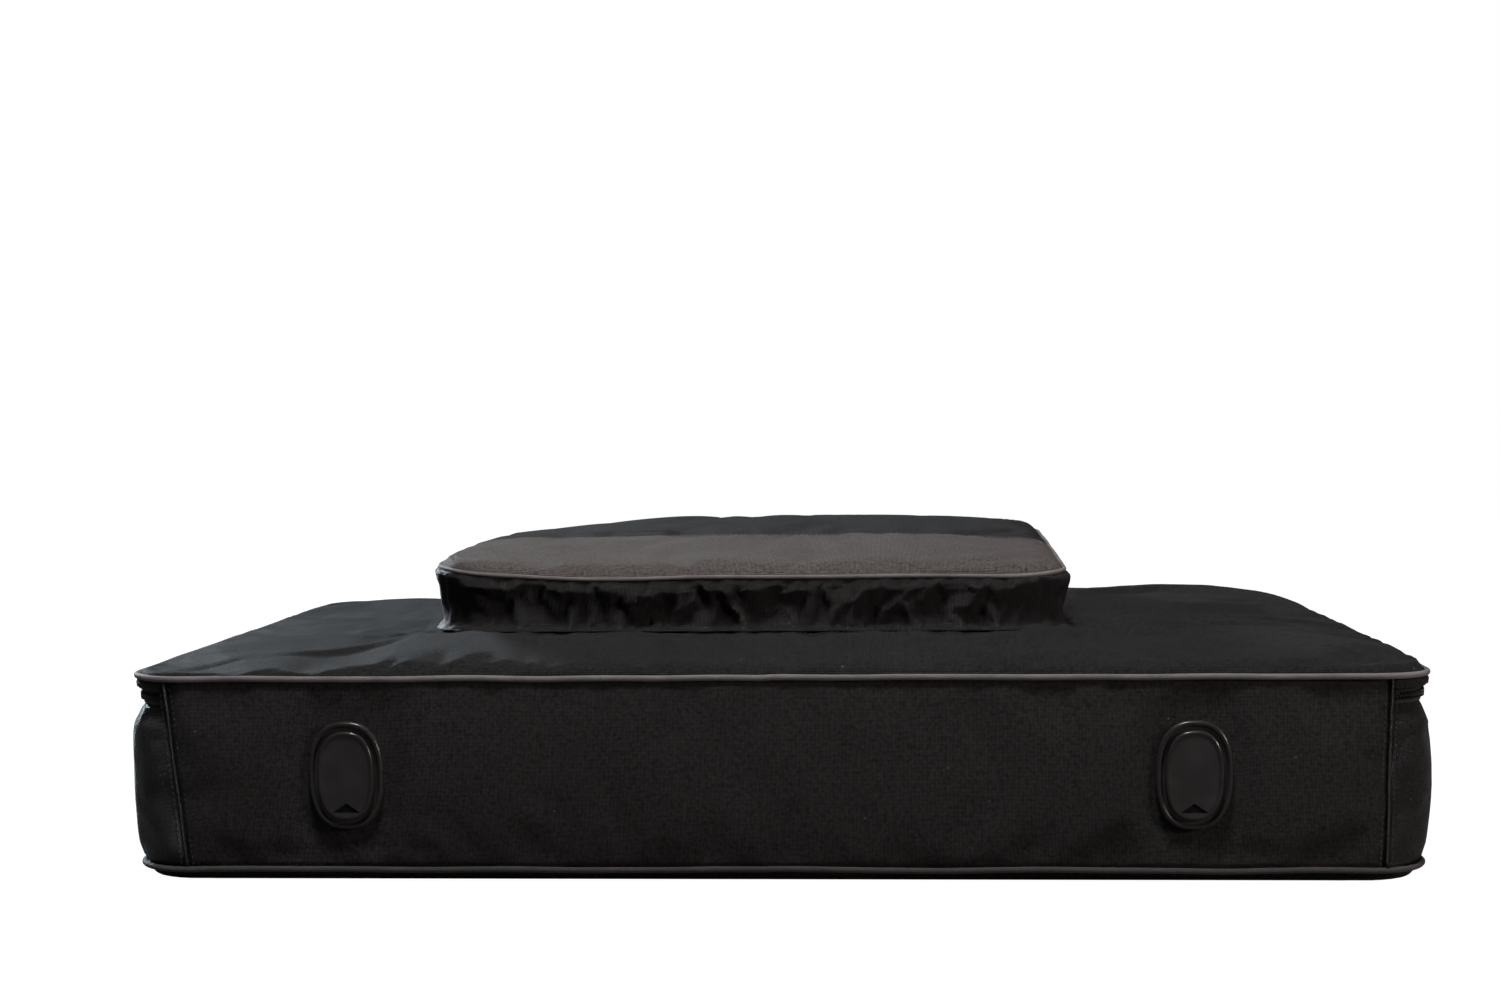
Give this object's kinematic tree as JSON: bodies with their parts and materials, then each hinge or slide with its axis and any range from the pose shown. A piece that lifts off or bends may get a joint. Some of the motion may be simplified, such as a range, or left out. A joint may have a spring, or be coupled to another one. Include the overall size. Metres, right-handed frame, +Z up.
{
  "type": "portfolio case",
  "caption": "Large flat padded soft case for art boards, with piped edges, a zipped front panel, an accessory pocket, oval bottom feet and a ringed carry handle.",
  "frame": {"origin": "middle of the back panel's underside, which lies on the ground", "axes": "+X along the case's long side, +Y away from the bottom wall with the feet, +Z up out of the front panel"},
  "size_m": [0.94, 0.6559, 0.2376],
  "materials": {
    "black_fabric": "coarse plain-weave nylon, satin sheen",
    "grey_fabric": "coarse plain-weave nylon, matt",
    "piping": "woven tape over a cord",
    "lining": "thin woven lining",
    "foam": "closed-cell padding, hidden",
    "board": "light stiffening board, hidden",
    "webbing": "woven tape",
    "zip_tape": "woven zip tape",
    "zip_coil": "nylon coil",
    "black_plastic": "moulded, satin",
    "metal": "dark nickel"
  },
  "bodies": {
    "tray": {"back_cover": "black_fabric", "back_board": "board", "back_lining": "lining", "back_piping": "piping", "back_binding": "webbing", "bottom_wall_cover": "black_fabric", "bottom_wall_foam": "foam", "bottom_wall_lining": "lining", "side_wall_cover": "black_fabric", "side_wall_foam": "foam", "side_wall_lining": "lining", "corner_seam_left": "webbing", "corner_seam_right": "webbing", "main_zip_tape_lower": "zip_tape", "main_zip_coil_lower": "zip_coil", "foot_base_left": "black_plastic", "foot_base_right": "black_plastic", "foot_cap_left": "black_plastic", "foot_cap_right": "black_plastic", "foot_backing_left": "black_plastic", "foot_backing_right": "black_plastic", "foot_rivet_left_1": "metal", "foot_rivet_left_2": "metal", "foot_rivet_right_1": "metal", "foot_rivet_right_2": "metal", "handle_anchor_left": "webbing", "handle_anchor_right": "webbing"},
    "front_panel": {"front_cover": "black_fabric", "front_foam": "foam", "front_lining": "lining", "front_piping": "piping", "front_strip": "black_fabric", "front_binding": "webbing", "main_zip_tape_upper": "zip_tape", "main_zip_coil_upper": "zip_coil", "pocket_gusset": "black_fabric", "pocket_gusset_top": "black_fabric", "pocket_front_panel": "grey_fabric", "pocket_piping_front": "piping", "pocket_zip_tape_lower": "zip_tape", "pocket_zip_coil_lower": "zip_coil"},
    "pocket_flap": {"pocket_flap_panel": "black_fabric", "pocket_piping_flap": "piping", "pocket_flap_strip": "black_fabric", "pocket_zip_tape_upper": "zip_tape", "pocket_zip_coil_upper": "zip_coil"},
    "handle": {"handle_grip": "webbing", "handle_loop_left": "webbing", "handle_loop_right": "webbing", "handle_ring_left": "metal", "handle_ring_right": "metal"},
    "main_left_slider": {"main_left_slider": "metal"},
    "main_left_link": {"main_left_link": "metal"},
    "main_left_pull": {"main_left_pull": "black_plastic"},
    "main_right_slider": {"main_right_slider": "metal"},
    "main_right_link": {"main_right_link": "metal"},
    "main_right_pull": {"main_right_pull": "black_plastic"},
    "pocket_slider": {"pocket_slider": "metal"},
    "pocket_link": {"pocket_link": "metal"},
    "pocket_pull": {"pocket_pull": "black_plastic"}
  },
  "joints": [
    {"name": "front_panel_hinge", "type": "hinge", "parent": "tray", "child": "front_panel", "pos_m": [0, -0.317, 0.148], "axis": [1, 0, 0], "range_deg": [0, 180]},
    {"name": "pocket_flap_hinge", "type": "hinge", "parent": "front_panel", "child": "pocket_flap", "pos_m": [-0.024, -0.01574, 0.23288], "axis": [1, 0, 0], "range_deg": [0, 120]},
    {"name": "handle_hinge", "type": "hinge", "parent": "tray", "child": "handle", "pos_m": [0, 0.3255, 0.088], "axis": [1, 0, 0], "range_deg": [0, 90]},
    {"name": "main_left_slider_travel", "type": "slide", "parent": "tray", "child": "main_left_slider", "axis": [-1, 0, 0], "range_m": [0, 0.395]},
    {"name": "main_left_link_hinge", "type": "hinge", "parent": "main_left_slider", "child": "main_left_link", "pos_m": [-0.011, 0.3214, 0.1335], "axis": [1, 0, 0], "range_deg": [-2, 100]},
    {"name": "main_left_pull_hinge", "type": "hinge", "parent": "main_left_link", "child": "main_left_pull", "pos_m": [-0.011, 0.323, 0.128], "axis": [0, 1, 0], "range_deg": [-15, 60]},
    {"name": "main_right_slider_travel", "type": "slide", "parent": "tray", "child": "main_right_slider", "axis": [1, 0, 0], "range_m": [0, 0.395]},
    {"name": "main_right_link_hinge", "type": "hinge", "parent": "main_right_slider", "child": "main_right_link", "pos_m": [0.011, 0.3214, 0.1335], "axis": [1, 0, 0], "range_deg": [-2, 100]},
    {"name": "main_right_pull_hinge", "type": "hinge", "parent": "main_right_link", "child": "main_right_pull", "pos_m": [0.011, 0.323, 0.128], "axis": [0, 1, 0], "range_deg": [-60, 15]},
    {"name": "pocket_slider_travel", "type": "slide", "parent": "front_panel", "child": "pocket_slider", "axis": [0, 0.9985, 0.0539], "range_m": [0, 0.12]},
    {"name": "pocket_link_hinge", "type": "hinge", "parent": "pocket_slider", "child": "pocket_link", "pos_m": [0.2254, -0.0002, 0.20468], "axis": [0, -0.9985, -0.0539], "range_deg": [-2, 100]},
    {"name": "pocket_pull_hinge", "type": "hinge", "parent": "pocket_link", "child": "pocket_pull", "pos_m": [0.227, 0.00009, 0.19919], "axis": [1, 0, 0], "range_deg": [-60, 60]}
  ]
}
